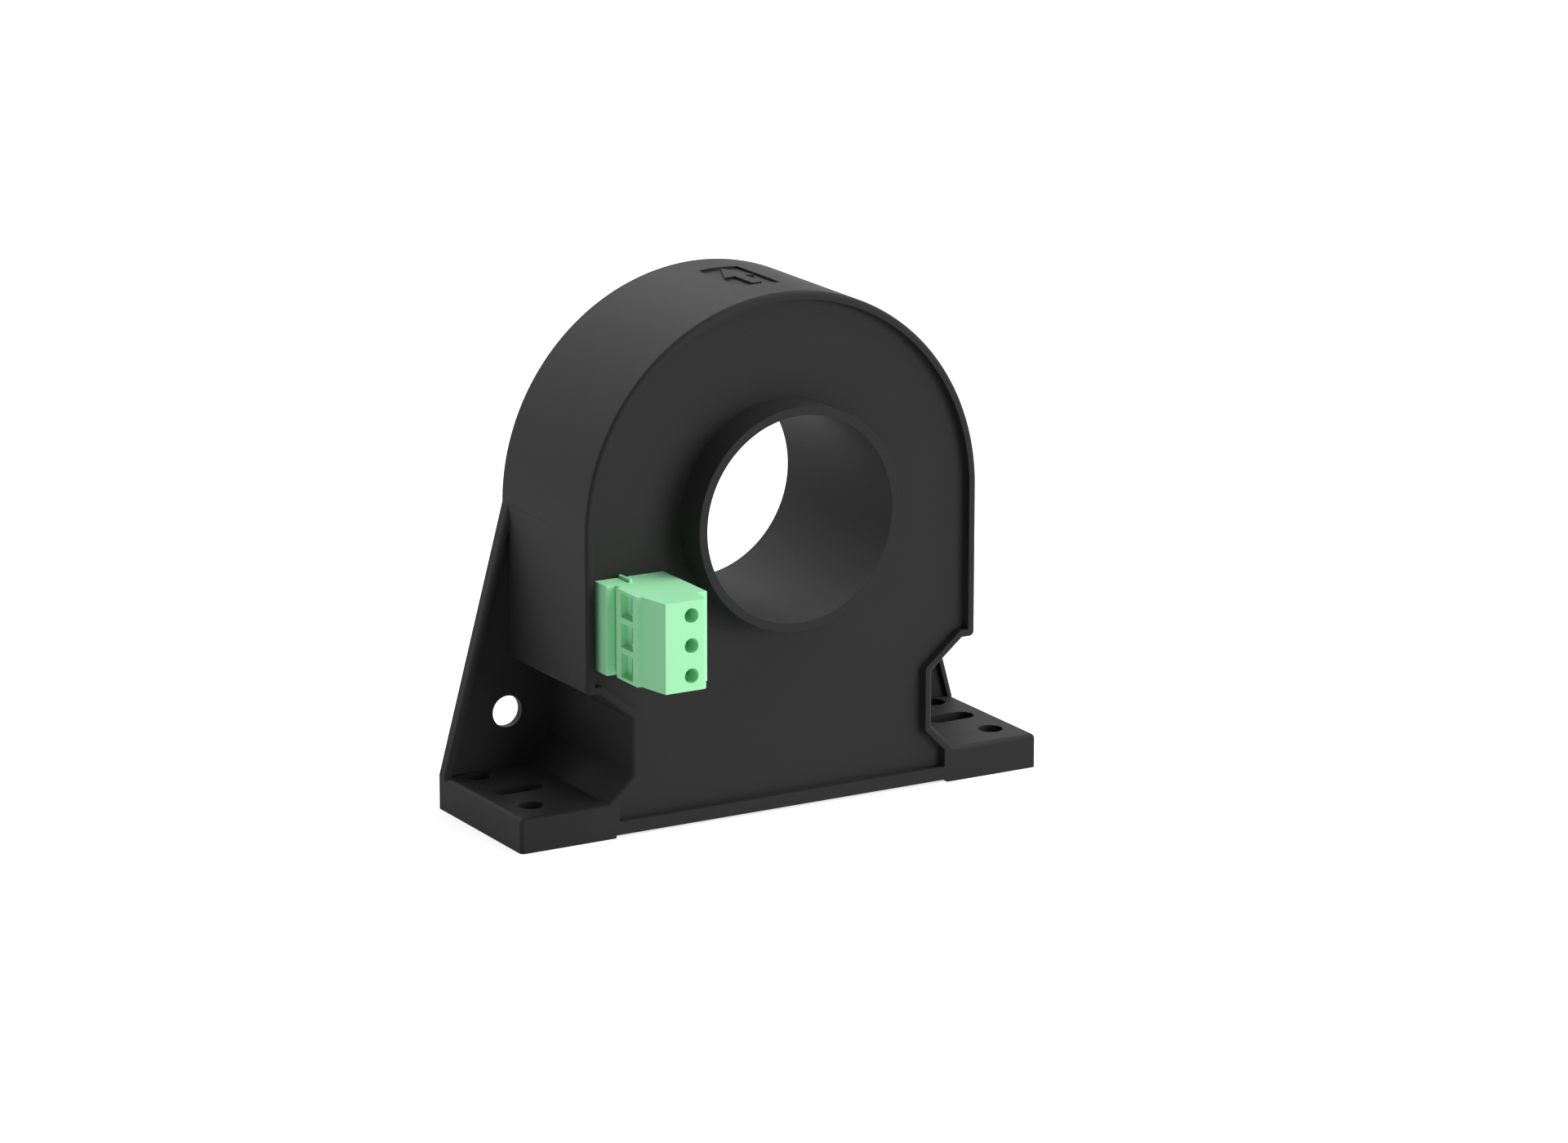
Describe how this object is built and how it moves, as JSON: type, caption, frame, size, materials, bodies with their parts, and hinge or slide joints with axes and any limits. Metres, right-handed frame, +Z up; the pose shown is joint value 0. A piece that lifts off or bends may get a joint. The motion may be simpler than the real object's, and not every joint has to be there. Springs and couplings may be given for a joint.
{
  "type": "closed-loop hall current sensor",
  "caption": "Closed-loop hall current sensor with a round cable opening in an arched black housing on two slotted feet, with a pluggable green screw terminal.",
  "frame": {"origin": "on the bore axis, half way between the front rim and the flat back of the housing", "axes": "+X to the right seen from the potted front, +Y along the bore to the flat back, +Z up, away from the feet"},
  "size_m": [0.1, 0.0466, 0.0891],
  "materials": {
    "housing_plastic": "fine matte moulded plastic, near black",
    "potting_resin": "flat cast resin, near black",
    "terminal_plastic": "matte light green moulded plastic",
    "board_laminate": "green lacquered laminate",
    "chip_plastic": "black moulded package",
    "core_steel": "wound magnetic strip",
    "case_plastic": "natural moulded plastic",
    "winding_wire": "lacquered copper wire",
    "trimmer_plastic": "blue moulded plastic",
    "can_metal": "drawn can",
    "diode_body": "black moulded body",
    "resistor_body": "lacquered body",
    "contact_metal": "tinned copper alloy",
    "clamp_metal": "zinc plated steel",
    "screw_metal": "zinc plated steel"
  },
  "bodies": {
    "root": {"housing": "housing_plastic", "potting_compound": "potting_resin", "terminal_header": "terminal_plastic", "header_pin_1": "contact_metal", "header_pin_2": "contact_metal", "header_pin_3": "contact_metal", "circuit_board": "board_laminate", "amplifier_chip": "chip_plastic", "magnetic_core": "core_steel", "core_case_front": "case_plastic", "core_case_rear": "case_plastic", "compensation_winding": "winding_wire", "hall_element": "chip_plastic", "resistor_1": "resistor_body", "resistor_2": "resistor_body", "resistor_3": "resistor_body", "resistor_4": "resistor_body", "diode_1": "diode_body", "diode_2": "diode_body", "zero_trimmer": "trimmer_plastic", "gain_trimmer": "trimmer_plastic", "output_transistor_1": "chip_plastic", "output_transistor_2": "chip_plastic", "filter_capacitor_1": "can_metal", "filter_capacitor_2": "can_metal", "winding_lead_start": "winding_wire", "winding_lead_finish": "winding_wire"},
    "plug": {"plug_body": "terminal_plastic", "plug_contact_1": "contact_metal", "plug_contact_2": "contact_metal", "plug_contact_3": "contact_metal"},
    "clamp_1": {"wire_clamp_1": "clamp_metal"},
    "screw_1": {"clamp_screw_1": "screw_metal"},
    "clamp_2": {"wire_clamp_2": "clamp_metal"},
    "screw_2": {"clamp_screw_2": "screw_metal"},
    "clamp_3": {"wire_clamp_3": "clamp_metal"},
    "screw_3": {"clamp_screw_3": "screw_metal"}
  },
  "joints": [
    {"name": "plug_pull", "type": "slide", "parent": "root", "child": "plug", "axis": [0, -1, 0], "range_m": [0, 0.012]},
    {"name": "screw_1_turn", "type": "hinge", "parent": "plug", "child": "screw_1", "pos_m": [-0.02735, -0.0273, -0.00992], "axis": [0, 1, 0], "range_deg": [0, 1440]},
    {"name": "clamp_1_rise", "type": "slide", "parent": "plug", "child": "clamp_1", "axis": [0, -1, 0], "range_m": [0, 0.0018]},
    {"name": "screw_2_turn", "type": "hinge", "parent": "plug", "child": "screw_2", "pos_m": [-0.02735, -0.0273, -0.015], "axis": [0, 1, 0], "range_deg": [0, 1440]},
    {"name": "clamp_2_rise", "type": "slide", "parent": "plug", "child": "clamp_2", "axis": [0, -1, 0], "range_m": [0, 0.0018]},
    {"name": "screw_3_turn", "type": "hinge", "parent": "plug", "child": "screw_3", "pos_m": [-0.02735, -0.0273, -0.02008], "axis": [0, 1, 0], "range_deg": [0, 1440]},
    {"name": "clamp_3_rise", "type": "slide", "parent": "plug", "child": "clamp_3", "axis": [0, -1, 0], "range_m": [0, 0.0018]}
  ],
  "couplings": [
    {"joint": "screw_1_turn", "follows": "clamp_1_rise", "rad_per_m": 13963},
    {"joint": "screw_2_turn", "follows": "clamp_2_rise", "rad_per_m": 13963},
    {"joint": "screw_3_turn", "follows": "clamp_3_rise", "rad_per_m": 13963}
  ]
}
